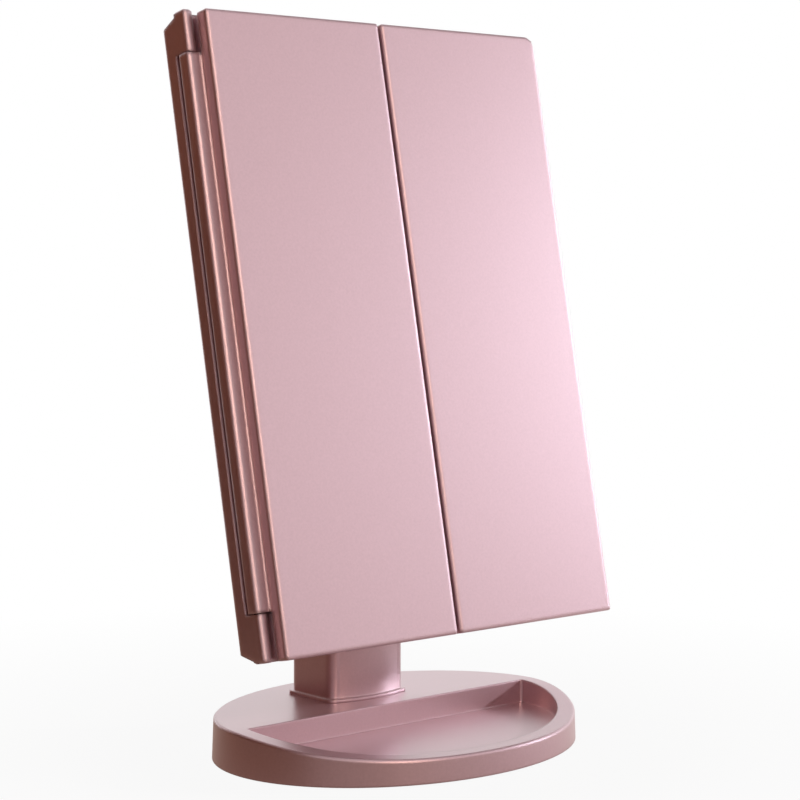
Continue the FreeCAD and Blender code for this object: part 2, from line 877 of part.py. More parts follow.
def hinge_barrel():
    """The left door's barrel with its web: flat in front and outside, round behind."""
    x_from = -hinge_x - barrel_side
    x_to = -half_panel + barrel_lap
    y_from = hinge_y - barrel_front
    y_to = hinge_y + barrel_front
    bar = block(x_from, x_to, y_from, y_to, barrel_bottom, barrel_top)
    bar = bar.makeFillet(barrel_back_radius, upright_edges(bar, x_from, y_to))
    bar = bar.makeFillet(barrel_back_radius, upright_edges(bar, x_to, y_to))
    bar = bar.makeFillet(barrel_edge_radius, upright_edges(bar, x_from, y_from))
    bar = bar.makeFillet(barrel_inner_radius, upright_edges(bar, x_to, y_from))
    web = block(-half_panel, door_rim - half_panel - hinge_web_reach, door_thickness - NEAR,
                door_thickness + hinge_web, barrel_bottom, barrel_top)
    return bar.fuse(web)


def door_plate(top_corner):
    """The left door's plate with soft front edges; its upper outer corner may be rounder."""
    outer, inner = door_edges()
    plate = block(outer, inner, 0, door_thickness, 0, panel_height)
    corners = edges_along(plate, ALONG_Y)
    if top_corner > door_edge_radius:
        plate = plate.makeFillet(top_corner, [
            edge for edge in corners
            if edge.BoundBox.XMax < outer + NEAR and edge.BoundBox.ZMin > panel_height - NEAR
        ])
        corners = [
            edge for edge in edges_along(plate, ALONG_Y)
            if edge.BoundBox.ZMax < NEAR or edge.BoundBox.XMin > inner - NEAR
        ]
    return plate.makeFillet(door_edge_radius, corners + edges_at_depth(plate, 0))


def door_shell(top_corner):
    """The left door: a thin tray with its hinge barrel at the outer edge."""
    outer, inner = door_edges()
    body = door_plate(top_corner)
    pocket = block(outer + door_rim, inner - door_rim, door_skin, door_thickness + SPARE,
                   door_rim, panel_height - door_rim)
    body = body.cut(pocket).fuse(hinge_barrel())
    bores = [hinge_bore(low, high) for low, high in pin_spans()]
    return body.cut(bores).removeSplitter()


def bezel_windows(count):
    """The left door's mirror openings, from the bottom up."""
    outer, inner = door_edges()
    border = door_rim + bezel_border
    low = border
    high = panel_height - border
    share = (high - low - bezel_bar * (count - 1)) / count
    return [
        (outer + border, inner - border, low + index * (share + bezel_bar),
         low + index * (share + bezel_bar) + share)
        for index in range(count)
    ]


def door_bezel(count):
    """The frame in the left door's tray that holds its mirrors."""
    outer, inner = door_edges()
    gap = door_rim + fit_clearance
    body = block(outer + gap, inner - gap, door_skin, door_thickness, gap, panel_height - gap)
    grow = pane_overlap + pane_clearance
    lip_face = door_thickness - bezel_lip
    holes = []
    for x_from, x_to, z_from, z_to in bezel_windows(count):
        holes.append(block(x_from, x_to, door_skin - SPARE, door_thickness + SPARE, z_from, z_to))
        holes.append(block(x_from - grow, x_to + grow, door_skin - SPARE, lip_face,
                           z_from - grow, z_to + grow))
    return body.cut(holes).removeSplitter()


def door_mirror(place, hollowed):
    """One mirror in the left door, facing back; a magnifying one is dished."""
    x_from, x_to, z_from, z_to = place
    grow = pane_overlap
    face = door_thickness - bezel_lip
    glass = block(x_from - grow, x_to + grow, face - pane_thickness, face, z_from - grow, z_to + grow)
    if not hollowed:
        return glass
    half_width = (x_to - x_from) / 2
    half_height = (z_to - z_from) / 2
    sag = (half_width ** 2 + half_height ** 2) / (2 * magnifier_radius)
    centre = Vector((x_from + x_to) / 2, face - sag + magnifier_radius, (z_from + z_to) / 2)
    return glass.cut(Part.makeSphere(magnifier_radius, centre))


def make_hinge_pins():
    """The four hinge pins, two on each side."""
    pins = [
        rod(hinge_pin_radius, Vector(-hinge_x, hinge_y, low), ALONG_Z, high - low)
        for low, high in pin_spans()
    ]
    return group(pins + [mirrored(pin) for pin in pins])


def make_stand():
    """The foot and the neck, in place."""
    return {
        "base_shell": make_base_shell(),
        "base_plate": make_base_plate(),
        "base_feet": make_base_feet(),
        "neck_post": make_neck_post(),
    }


def make_head():
    """The head and its doors, in the head's own frame."""
    lower, upper = bezel_windows(2)
    whole = bezel_windows(1)[0]
    return {
        "tilt_bracket": make_tilt_bracket(),
        "tilt_pin": make_tilt_pin(),
        "tilt_nut": make_tilt_nut(),
        "rear_housing": make_rear_housing(),
        "front_frame": make_front_frame(),
        "centre_mirror": make_centre_mirror(),
        "light_diffusers": make_light_diffusers(),
        "led_boards": make_led_boards(),
        "led_chips": make_led_chips(),
        "touch_electrode": make_touch_electrode(),
        "control_board": make_control_board(),
        "usb_socket": make_usb_socket(),
        "switch_body": make_switch_body(),
        "switch_knob": make_switch_knob(),
        "battery_contacts": make_battery_contacts(),
        "battery_cover": make_battery_cover(),
        "hinge_pins": make_hinge_pins(),
        "left_door_shell": door_shell(door_edge_radius),
        "left_door_bezel": door_bezel(2),
        "left_upper_mirror": door_mirror(upper, True),
        "left_lower_mirror": door_mirror(lower, True),
        "right_door_shell": mirrored(door_shell(right_door_corner)),
        "right_door_bezel": mirrored(door_bezel(1)),
        "right_door_mirror": mirrored(door_mirror(whole, False)),
    }


def main():
    """Builds every piece and writes one file for each."""
    os.makedirs("parts", exist_ok=True)
    pieces = make_stand()
    for name, shape in make_head().items():
        pieces[name] = in_head(shape)
    for name, shape in pieces.items():
        shape.exportStep("parts/" + name + ".step")
        print(name, "solids", len(shape.Solids), "valid", shape.isValid(), "volume", round(shape.Volume))


main()
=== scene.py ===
"""Looks of a closed three-panel make-up mirror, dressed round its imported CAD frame.

Sizes and places are in millimetres and angles in degrees, unless a name or a docstring says otherwise.
"""
import logging
import math
from dataclasses import dataclass, field
from enum import Enum
from typing import Any

import bmesh
import bpy
from mathutils import Matrix, Vector


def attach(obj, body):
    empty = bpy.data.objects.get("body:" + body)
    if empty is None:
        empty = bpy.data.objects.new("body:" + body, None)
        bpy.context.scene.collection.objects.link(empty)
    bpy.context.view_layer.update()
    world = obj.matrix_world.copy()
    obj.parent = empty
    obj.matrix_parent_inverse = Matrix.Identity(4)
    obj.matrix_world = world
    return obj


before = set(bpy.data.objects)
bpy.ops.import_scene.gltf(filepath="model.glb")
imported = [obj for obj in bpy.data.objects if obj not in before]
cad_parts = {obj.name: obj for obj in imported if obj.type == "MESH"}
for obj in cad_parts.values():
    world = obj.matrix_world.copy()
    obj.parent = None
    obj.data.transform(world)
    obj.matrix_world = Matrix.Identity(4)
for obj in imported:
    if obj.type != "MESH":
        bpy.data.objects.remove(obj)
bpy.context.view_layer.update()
MM = 0.001
MERGE = 0.001 * MM
QUARTER = math.pi / 2
WHITE = (1.0, 1.0, 1.0, 1.0)
# A Mix node's sockets for colours, which share their names with its sockets for numbers.
MIX_A, MIX_B, MIX_RESULT = 6, 7, 2
LOG = logging.getLogger("makeup_mirror")


class Body(Enum):
    """The bodies that the added pieces ride on."""

    STAND = "stand"
    HEAD = "head"


def linear(code: str) -> tuple[float, float, float, float]:
    """Turns an sRGB hex colour to linear.

    Args:
        code: six hex digits.

    Returns:
        Red, green, blue and alpha as Blender's sockets take them.
    """
    parts = [int(code[i:i + 2], 16) / 255 for i in (0, 2, 4)]
    curve = [c / 12.92 if c <= 0.04045 else ((c + 0.055) / 1.055) ** 2.4 for c in parts]
    return curve[0], curve[1], curve[2], 1.0


def add_node(tree: bpy.types.NodeTree, kind: str, inputs: dict[Any, Any] | None = None,
             **settings: Any) -> bpy.types.Node:
    """Adds one node with its settings, values and links.

    Args:
        tree: the tree that gets the node.
        kind: Blender's name for the kind of node.
        inputs: a value, or an output socket to link from, for each input's name or number.
        settings: the node's own properties.

    Returns:
        The new node.
    """
    node = tree.nodes.new(kind)
    for name, value in settings.items():
        setattr(node, name, value)
    for key, value in (inputs or {}).items():
        if isinstance(value, bpy.types.NodeSocket):
            tree.links.new(value, node.inputs[key])
        else:
            node.inputs[key].default_value = value
    return node


def piece(name: str, mesh: bpy.types.Mesh) -> bpy.types.Object:
    """Puts a mesh in the scene as a piece at the origin.

    Args:
        name: the piece's name.
        mesh: its mesh, with its place in its vertices.

    Returns:
        The new object.
    """
    made = bpy.data.objects.new(name, mesh)
    bpy.context.scene.collection.objects.link(made)
    return made


def evaluated_mesh(made: bpy.types.Object) -> bpy.types.Mesh:
    """Turns an object and its modifiers into a plain mesh.

    Args:
        made: the object.

    Returns:
        A new mesh with every modifier applied.
    """
    graph = bpy.context.evaluated_depsgraph_get()
    return bpy.data.meshes.new_from_object(made.evaluated_get(graph))


@dataclass(frozen=True)
class Finish:
    """A surface finish: one named material made of nodes."""

    name: str

    def material(self) -> bpy.types.Material:
        """Finds this finish's material, or makes it the first time.

        Returns:
            The material.
        """
        found = bpy.data.materials.get(self.name)
        if found is None:
            found = bpy.data.materials.new(self.name)
            found.use_nodes = True
            found.node_tree.nodes.clear()
            shader = self.shade(found.node_tree)
            add_node(found.node_tree, "ShaderNodeOutputMaterial", {"Surface": shader.outputs[0]})
        return found

    def shade(self, tree: bpy.types.NodeTree) -> bpy.types.Node:
        """Builds the finish's nodes.

        Args:
            tree: the material's empty tree.

        Returns:
            The shader node that the surface takes.
        """
        raise NotImplementedError

    def wear(self, nodes: list[str]) -> None:
        """Gives this finish to CAD nodes.

        Args:
            nodes: the nodes' names.
        """
        for name in nodes:
            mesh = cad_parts[name].data
            mesh.materials.clear()
            mesh.materials.append(self.material())
            LOG.info("%s wears %s", name, self.name)


@dataclass(frozen=True)
class MetallicLacquer(Finish):
    """ABS sprayed with rose-gold metallic lacquer under a satin clear coat."""

    tone: str = "D4AEB4"
    shade_tone: str = "C6A0A6"
    metallic: float = 0.55
    roughness: float = 0.36
    rough_spread: float = 0.05
    specular: float = 0.3
    coat: float = 1.0
    coat_roughness: float = 0.28
    flake_mm: float = 0.9
    flake_detail: float = 2.0
    flake_depth_mm: float = 0.05
    flake_strength: float = 0.06
    peel_mm: float = 3.0
    peel_detail: float = 1.0
    peel_depth_mm: float = 0.1
    peel_strength: float = 0.05
    edge_mm: float = 1.1
    edge_samples: int = 6

    def shade(self, tree: bpy.types.NodeTree) -> bpy.types.Node:
        """Flakes give a fine sparkle, the coat a soft grazing gloss, and rounded edges a bright line.

        Args:
            tree: the material's empty tree.

        Returns:
            The shader node that the surface takes.
        """
        place = add_node(tree, "ShaderNodeTexCoord")
        # Real flakes are some hundredths of a millimetre: they are drawn coarse enough to show as grain.
        flake = add_node(tree, "ShaderNodeTexNoise", {
            "Vector": place.outputs["Object"], "Scale": 1 / (self.flake_mm * MM),
            "Detail": self.flake_detail})
        peel = add_node(tree, "ShaderNodeTexNoise", {
            "Vector": place.outputs["Object"], "Scale": 1 / (self.peel_mm * MM),
            "Detail": self.peel_detail})
        tones = add_node(tree, "ShaderNodeMix", {
            "Factor": flake.outputs[0], MIX_A: linear(self.shade_tone), MIX_B: linear(self.tone)},
            data_type="RGBA")
        rough = add_node(tree, "ShaderNodeMapRange", {
            "Value": flake.outputs[0], "To Min": self.roughness - self.rough_spread,
            "To Max": self.roughness + self.rough_spread})
        edge = add_node(tree, "ShaderNodeBevel", {"Radius": self.edge_mm * MM}, samples=self.edge_samples)
        wave = add_node(tree, "ShaderNodeBump", {
            "Height": peel.outputs[0], "Normal": edge.outputs[0],
            "Strength": self.peel_strength, "Distance": self.peel_depth_mm * MM})
        grain = add_node(tree, "ShaderNodeBump", {
            "Height": flake.outputs[0], "Normal": wave.outputs[0],
            "Strength": self.flake_strength, "Distance": self.flake_depth_mm * MM})
        return add_node(tree, "ShaderNodeBsdfPrincipled", {
            "Base Color": tones.outputs[MIX_RESULT], "Metallic": self.metallic,
            "Roughness": rough.outputs[0], "Specular IOR Level": self.specular,
            "Coat Weight": self.coat, "Coat Roughness": self.coat_roughness,
            "Normal": grain.outputs[0], "Coat Normal": wave.outputs[0]})


@dataclass(frozen=True)
class MouldedPlastic(Finish):
    """Plain plastic, rubber, ink or mask, moulded or laid on with a fine, even skin."""

    tone: str = "2B2324"
    roughness: float = 0.5
    rough_spread: float = 0.08
    skin_mm: float = 0.6
    skin_detail: float = 3.0
    skin_depth_mm: float = 0.05
    skin_strength: float = 0.2

    def shade(self, tree: bpy.types.NodeTree) -> bpy.types.Node:
        """The skin breaks up the gloss into a soft, even sheen.

        Args:
            tree: the material's empty tree.

        Returns:
            The shader node that the surface takes.
        """
        place = add_node(tree, "ShaderNodeTexCoord")
        skin = add_node(tree, "ShaderNodeTexNoise", {
            "Vector": place.outputs["Object"], "Scale": 1 / (self.skin_mm * MM),
            "Detail": self.skin_detail})
        rough = add_node(tree, "ShaderNodeMapRange", {
            "Value": skin.outputs[0], "To Min": self.roughness - self.rough_spread,
            "To Max": self.roughness + self.rough_spread})
        bump = add_node(tree, "ShaderNodeBump", {
            "Height": skin.outputs[0], "Strength": self.skin_strength, "Distance": self.skin_depth_mm * MM})
        return add_node(tree, "ShaderNodeBsdfPrincipled", {
            "Base Color": linear(self.tone), "Roughness": rough.outputs[0], "Normal": bump.outputs[0]})


@dataclass(frozen=True)
class SilveredGlass(Finish):
    """Float glass silvered behind: a clear, sharp reflection."""

    tone: str = "EEF1F1"
    # A roughness of 0 makes its reflections the sharp ones that the studio's brown cards let through.
    roughness: float = 0.0

    def shade(self, tree: bpy.types.NodeTree) -> bpy.types.Node:
        """Polished glass is smooth all over, so the reflection is sharp and slightly cool.

        Args:
            tree: the material's empty tree.

        Returns:
            The shader node that the surface takes.
        """
        return add_node(tree, "ShaderNodeBsdfPrincipled", {
            "Base Color": linear(self.tone), "Metallic": 1.0, "Roughness": self.roughness})


@dataclass(frozen=True)
class FrostedAcrylic(Finish):
    """Opal acrylic light strip: milky, evenly bright, with a fine ground face."""

    tone: str = "F2F0EA"
    roughness: float = 0.45
    ior: float = 1.49
    milk: float = 0.4
    spread_mm: tuple[float, float, float] = (2.0, 2.0, 1.8)
    grit_mm: float = 0.5
    grit_detail: float = 2.0
    grit_depth_mm: float = 0.03
    grit_strength: float = 0.1

    def shade(self, tree: bpy.types.NodeTree) -> bpy.types.Node:
        """Light spreads under the face, so its edges look soft.

        Args:
            tree: the material's empty tree.

        Returns:
            The shader node that the surface takes.
        """
        place = add_node(tree, "ShaderNodeTexCoord")
        grit = add_node(tree, "ShaderNodeTexNoise", {
            "Vector": place.outputs["Object"], "Scale": 1 / (self.grit_mm * MM),
            "Detail": self.grit_detail})
        bump = add_node(tree, "ShaderNodeBump", {
            "Height": grit.outputs[0], "Strength": self.grit_strength, "Distance": self.grit_depth_mm * MM})
        return add_node(tree, "ShaderNodeBsdfPrincipled", {
            "Base Color": linear(self.tone), "Roughness": self.roughness, "IOR": self.ior,
            "Subsurface Weight": self.milk, "Subsurface Radius": [reach * MM for reach in self.spread_mm],
            "Subsurface Scale": 1.0, "Normal": bump.outputs[0]})


@dataclass(frozen=True)
class PlatedSteel(Finish):
    """Plated or rolled metal with fine working marks; the hinge pins' dark tone is painted shade."""

    tone: str = "C9C7C3"
    roughness: float = 0.28
    rough_spread: float = 0.08
    mark_mm: float = 0.4
    mark_detail: float = 2.0

    def shade(self, tree: bpy.types.NodeTree) -> bpy.types.Node:
        """The marks blur the reflection unevenly.

        Args:
            tree: the material's empty tree.

        Returns:
            The shader node that the surface takes.
        """
        place = add_node(tree, "ShaderNodeTexCoord")
        marks = add_node(tree, "ShaderNodeTexNoise", {
            "Vector": place.outputs["Object"], "Scale": 1 / (self.mark_mm * MM),
            "Detail": self.mark_detail})
        rough = add_node(tree, "ShaderNodeMapRange", {
            "Value": marks.outputs[0], "To Min": self.roughness - self.rough_spread,
            "To Max": self.roughness + self.rough_spread})
        return add_node(tree, "ShaderNodeBsdfPrincipled", {
            "Base Color": linear(self.tone), "Metallic": 1.0, "Roughness": rough.outputs[0]})


ROSE_GOLD = MetallicLacquer("RoseGoldLacqueredAbs")
# The housing and the door shells catch the light on rounder edges than the foot and the neck.
SOFT_GOLD = MetallicLacquer("SoftEdgedRoseGoldAbs", edge_mm=2.0)
DARK_ABS = MouldedPlastic("DarkMouldedAbs")
FOOT_RUBBER = MouldedPlastic("BlackFootRubber", tone="191818", roughness=0.75, skin_mm=0.8)
MIRROR = SilveredGlass("SilveredFloatGlass")
OPAL = FrostedAcrylic("OpalAcrylic")
STEEL = PlatedSteel("ZincPlatedSteel")
# The hinge pins' dark tone is painted shade: it keeps the hinge gaps dark where the pins show through.
PIN_STEEL_PAINTED_SHADE = PlatedSteel("PinSteelPaintedShade", tone="3C3432", roughness=0.45)
COPPER = PlatedSteel("CopperFoil", tone="C98B62", roughness=0.35)
BOARD = MouldedPlastic("WhiteSolderMask", tone="E4E3DE", roughness=0.4, skin_mm=1.5)
PHOSPHOR = MouldedPlastic("LampPhosphor", tone="EFD77A", roughness=0.35, skin_mm=0.4)
MARK_INK = MouldedPlastic("GreyTouchMarkInk", tone="8E9296", roughness=0.45, skin_mm=0.5)


@dataclass
class CrossScrew:
    """A pan-head screw with a cross recess, the pattern that a screw row repeats."""

    radius: float = 2.3
    height: float = 1.3
    recess: float = 0.8
    arm: float = 2.6
    slot: float = 0.6
    # The share of an arm's length and width that is left at the bottom of the recess.
    taper: float = 0.55
    steps: int = 28
    # The head's outline from its crown to its seat, as shares of its radius and height.
    outline: tuple[tuple[float, float], ...] = (
        (0.0, 1.0), (0.45, 0.98), (0.75, 0.88), (0.93, 0.66), (1.0, 0.35), (1.0, 0.0), (0.0, 0.0))

    def head(self) -> bpy.types.Object:
        """Builds the head's mesh, with its recess cut in.

        Returns:
            The head as an object that stands on Z = 0.
        """
        mesh = bpy.data.meshes.new("screw_head")
        form = bmesh.new()
        points = [form.verts.new((r * self.radius * MM, 0, h * self.height * MM)) for r, h in self.outline]
        edges = [form.edges.new(pair) for pair in zip(points, points[1:])]
        bmesh.ops.spin(form, geom=points + edges, axis=(0, 0, 1), cent=(0, 0, 0), steps=self.steps,
                       angle=2 * math.pi)
        bmesh.ops.remove_doubles(form, verts=form.verts, dist=MERGE)
        bmesh.ops.recalc_face_normals(form, faces=form.faces)
        form.to_mesh(mesh)
        form.free()
        screw = piece("screw_head", mesh)
        bars = [piece("screw_cutter", self.bar(turn)) for turn in (0, QUARTER)]
        for bar in bars:
            screw.modifiers.new("recess", "BOOLEAN").object = bar
        done = evaluated_mesh(screw)
        screw.modifiers.clear()
        screw.data = done
        for bar in bars:
            bpy.data.objects.remove(bar)
        return screw

    def bar(self, turn: float) -> bpy.types.Mesh:
        """Builds one tapered arm of the cross that cuts the recess.

        Args:
            turn: the arm's angle about the screw's axis, in radians.

        Returns:
            The arm's mesh.
        """
        form = bmesh.new()
        bmesh.ops.create_cube(form, size=1)
        for corner in form.verts:
            share = 1.0 if corner.co.z > 0 else self.taper
            corner.co.x *= share * self.arm * MM
            corner.co.y *= share * self.slot * MM
            corner.co.z = (self.height + 2 * self.recess * corner.co.z) * MM
        bmesh.ops.rotate(form, verts=form.verts, matrix=Matrix.Rotation(turn, 3, "Z"))
        mesh = bpy.data.meshes.new("screw_bar")
        form.to_mesh(mesh)
        form.free()
        return mesh


@dataclass
class ScrewRow:
    """Screws at the corners of a rectangle, repeated by geometry nodes."""

    name: str
    across: float
    along: float
    place: Matrix
    body: Body
    screw: CrossScrew = field(default_factory=CrossScrew)
    seed: int = 7

    def tree(self) -> bpy.types.NodeTree:
        """Builds the tree that sets one screw at each corner, each turned by chance.

        Returns:
            The tree, with inputs for the screw and the rectangle's sides.
        """
        tree = bpy.data.node_groups.new(self.name + "_tree", "GeometryNodeTree")
        inputs = {"Geometry": "NodeSocketGeometry", "Screw": "NodeSocketObject",
                  "Across": "NodeSocketFloat", "Along": "NodeSocketFloat"}
        for name, kind in inputs.items():
            tree.interface.new_socket(name, in_out="INPUT", socket_type=kind)
        tree.interface.new_socket("Geometry", in_out="OUTPUT", socket_type="NodeSocketGeometry")
        given = add_node(tree, "NodeGroupInput")
        corners = add_node(tree, "GeometryNodeMeshGrid", {
            "Size X": given.outputs["Across"], "Size Y": given.outputs["Along"],
            "Vertices X": 2, "Vertices Y": 2})
        head = add_node(tree, "GeometryNodeObjectInfo", {"Object": given.outputs["Screw"]})
        turn = add_node(tree, "FunctionNodeRandomValue", {
            0: (0.0, 0.0, 0.0), 1: (0.0, 0.0, QUARTER), "Seed": self.seed}, data_type="FLOAT_VECTOR")
        spread = add_node(tree, "GeometryNodeInstanceOnPoints", {
            "Points": corners.outputs["Mesh"], "Instance": head.outputs["Geometry"],
            "Rotation": turn.outputs[0]})
        real = add_node(tree, "GeometryNodeRealizeInstances", {0: spread.outputs[0]})
        dressed = add_node(tree, "GeometryNodeSetMaterial", {
            0: real.outputs[0], "Material": STEEL.material()})
        add_node(tree, "NodeGroupOutput", {0: dressed.outputs[0]})
        return tree

    def build(self) -> None:
        """Builds the row as one plain mesh that rides on its body."""
        head = self.screw.head()
        row = piece(self.name, bpy.data.meshes.new(self.name))
        spread = row.modifiers.new("screws", "NODES")
        spread.node_group = self.tree()
        values = {"Screw": head, "Across": self.across * MM, "Along": self.along * MM}
        for socket in spread.node_group.interface.items_tree:
            if socket.in_out == "INPUT" and socket.name in values:
                spread[socket.identifier] = values[socket.name]
        mesh = evaluated_mesh(row)
        row.modifiers.clear()
        row.data = mesh
        # The screw's own empty slot comes along with the nodes' material, so the list is made afresh.
        mesh.materials.clear()
        mesh.materials.append(STEEL.material())
        mesh.transform(self.place)
        bpy.data.objects.remove(head)
        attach(row, self.body.value)
        LOG.info("%s: %d faces", self.name, len(mesh.polygons))


@dataclass
class Stand:
    """The oval foot with its tray, and the bent neck."""

    plate_under: float = 0.8
    screw_across: float = 92.0
    screw_along: float = 36.0
    screw: CrossScrew = field(default_factory=lambda: CrossScrew(height=0.6, recess=0.4))

    def build(self) -> None:
        """Adds the flat screws under the foot."""
        down = Matrix.Translation((0, 0, self.plate_under * MM)) @ Matrix.Rotation(math.pi, 4, "X")
        ScrewRow("foot_screws", self.screw_across, self.screw_along, down, Body.STAND, self.screw).build()

    def dress(self) -> None:
        """Gives the stand its finishes."""
        ROSE_GOLD.wear(["base_shell", "neck_post"])
        DARK_ABS.wear(["base_plate"])
        FOOT_RUBBER.wear(["base_feet"])


@dataclass
class Head:
    """The leaning head: housing, middle mirror, lights, bracket and controls."""

    lean: float = 11.7
    front: float = -36.5
    lift: float = 50.3
    housing_back: float = 21.6
    bracket: float = 3.0
    bracket_up: float = 44.0
    screw_across: float = 52.0
    screw_along: float = 34.0
    mirror_face: float = 7.2
    touch_up: float = 26.0
    mark_radius: float = 3.6
    mark_line: float = 0.55
    mark_film: float = 0.04
    mark_gap: float = 32.0
    mark_steps: int = 40
    # Where the mark's bar starts and ends, as shares of the ring's inner and outer radius.
    mark_bar: tuple[float, float] = (0.3, 1.2)

    def place(self) -> Matrix:
        """The head's own frame: X across, Y back from the doors' face, Z up the panel."""
        return Matrix.Translation((0, self.front * MM, self.lift * MM)) @ Matrix.Rotation(
            math.radians(-self.lean), 4, "X")

    def build(self) -> None:
        """Adds the bracket's screws and the touch mark on the middle mirror."""
        face = Matrix.Translation((0, (self.housing_back + self.bracket) * MM, self.bracket_up * MM))
        turned = self.place() @ face @ Matrix.Rotation(-QUARTER, 4, "X")
        ScrewRow("bracket_screws", self.screw_across, self.screw_along, turned, Body.HEAD).build()
        self.touch_mark()

    def touch_mark(self) -> None:
        """Builds the plain power sign that shows where a finger switches the lights."""
        form = bmesh.new()
        half = self.mark_line / 2 * MM
        inner = (self.mark_radius - self.mark_line / 2) * MM
        outer = (self.mark_radius + self.mark_line / 2) * MM
        gap = math.radians(self.mark_gap)
        sweep = 2 * math.pi - 2 * gap
        for index in range(self.mark_steps):
            a, b = (QUARTER + gap + sweep * (index + i) / self.mark_steps for i in (0, 1))
            ring = [(inner, a), (outer, a), (outer, b), (inner, b)]
            form.faces.new([form.verts.new((r * math.cos(t), 0, r * math.sin(t))) for r, t in ring])
        low, high = self.mark_bar[0] * inner, self.mark_bar[1] * outer
        bar = [(-half, low), (half, low), (half, high), (-half, high)]
        form.faces.new([form.verts.new((x, 0, z)) for x, z in bar])
        bmesh.ops.remove_doubles(form, verts=form.verts, dist=MERGE)
        bmesh.ops.recalc_face_normals(form, faces=form.faces)
        film = bmesh.ops.extrude_face_region(form, geom=list(form.faces))
        lifted = [part for part in film["geom"] if isinstance(part, bmesh.types.BMVert)]
        bmesh.ops.translate(form, verts=lifted, vec=(0, -self.mark_film * MM, 0))
        bmesh.ops.recalc_face_normals(form, faces=form.faces)
        spot = self.place() @ Matrix.Translation((0, self.mirror_face * MM, self.touch_up * MM))
        bmesh.ops.transform(form, matrix=spot, verts=form.verts)
        mesh = bpy.data.meshes.new("touch_mark")
        form.to_mesh(mesh)
        form.free()
        mesh.materials.append(MARK_INK.material())
        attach(piece("touch_mark", mesh), Body.HEAD.value)
        LOG.info("touch_mark: %d faces", len(mesh.polygons))

    def dress(self) -> None:
        """Gives the head its finishes."""
        SOFT_GOLD.wear(["rear_housing"])
        ROSE_GOLD.wear(["front_frame", "tilt_bracket", "battery_cover"])
        MIRROR.wear(["centre_mirror"])
        OPAL.wear(["light_diffusers"])
        BOARD.wear(["led_boards", "control_board"])
        PHOSPHOR.wear(["led_chips"])
        COPPER.wear(["touch_electrode"])
        STEEL.wear(["tilt_pin", "usb_socket", "battery_contacts"])
        # The pins' dark tone is painted shade for the hinge gaps.
        PIN_STEEL_PAINTED_SHADE.wear(["hinge_pins"])
        DARK_ABS.wear(["tilt_nut", "switch_body", "switch_knob"])


@dataclass
class Doors:
    """The two doors that fold over the middle mirror."""

    sides: tuple[str, str] = ("left", "right")
    mirrors: tuple[str, ...] = ("left_upper_mirror", "left_lower_mirror", "right_door_mirror")

    def dress(self) -> None:
        """Gives the doors their finishes."""
        for side in self.sides:
            SOFT_GOLD.wear([side + "_door_shell"])
            ROSE_GOLD.wear([side + "_door_bezel"])
        MIRROR.wear(list(self.mirrors))


@dataclass(frozen=True)
class Lamp:
    """One flat studio lamp, which may light only gloss or only matte surfaces. Its power is in watts."""

    name: str
    place: tuple[float, float, float]
    size: tuple[float, float]
    power: float
    tone: str
    gloss: bool = True
    matte: bool = True

    def hang(self, aim: tuple[float, float, float]) -> None:
        """Hangs the lamp.

        Args:
            aim: the point that it shines at.
        """
        data = bpy.data.lights.new(self.name, "AREA")
        data.shape = "ELLIPSE"
        data.size, data.size_y = (side * MM for side in self.size)
        data.energy = self.power
        data.color = linear(self.tone)[:3]
        made = bpy.data.objects.new(self.name, data)
        made.visible_glossy = self.gloss
        made.visible_diffuse = self.matte
        made.location = Vector(self.place) * MM
        made.rotation_euler = (Vector(aim) * MM - made.location).to_track_quat("-Z", "Y").to_euler()
        bpy.context.scene.collection.objects.link(made)
        LOG.info("%s hangs", self.name)


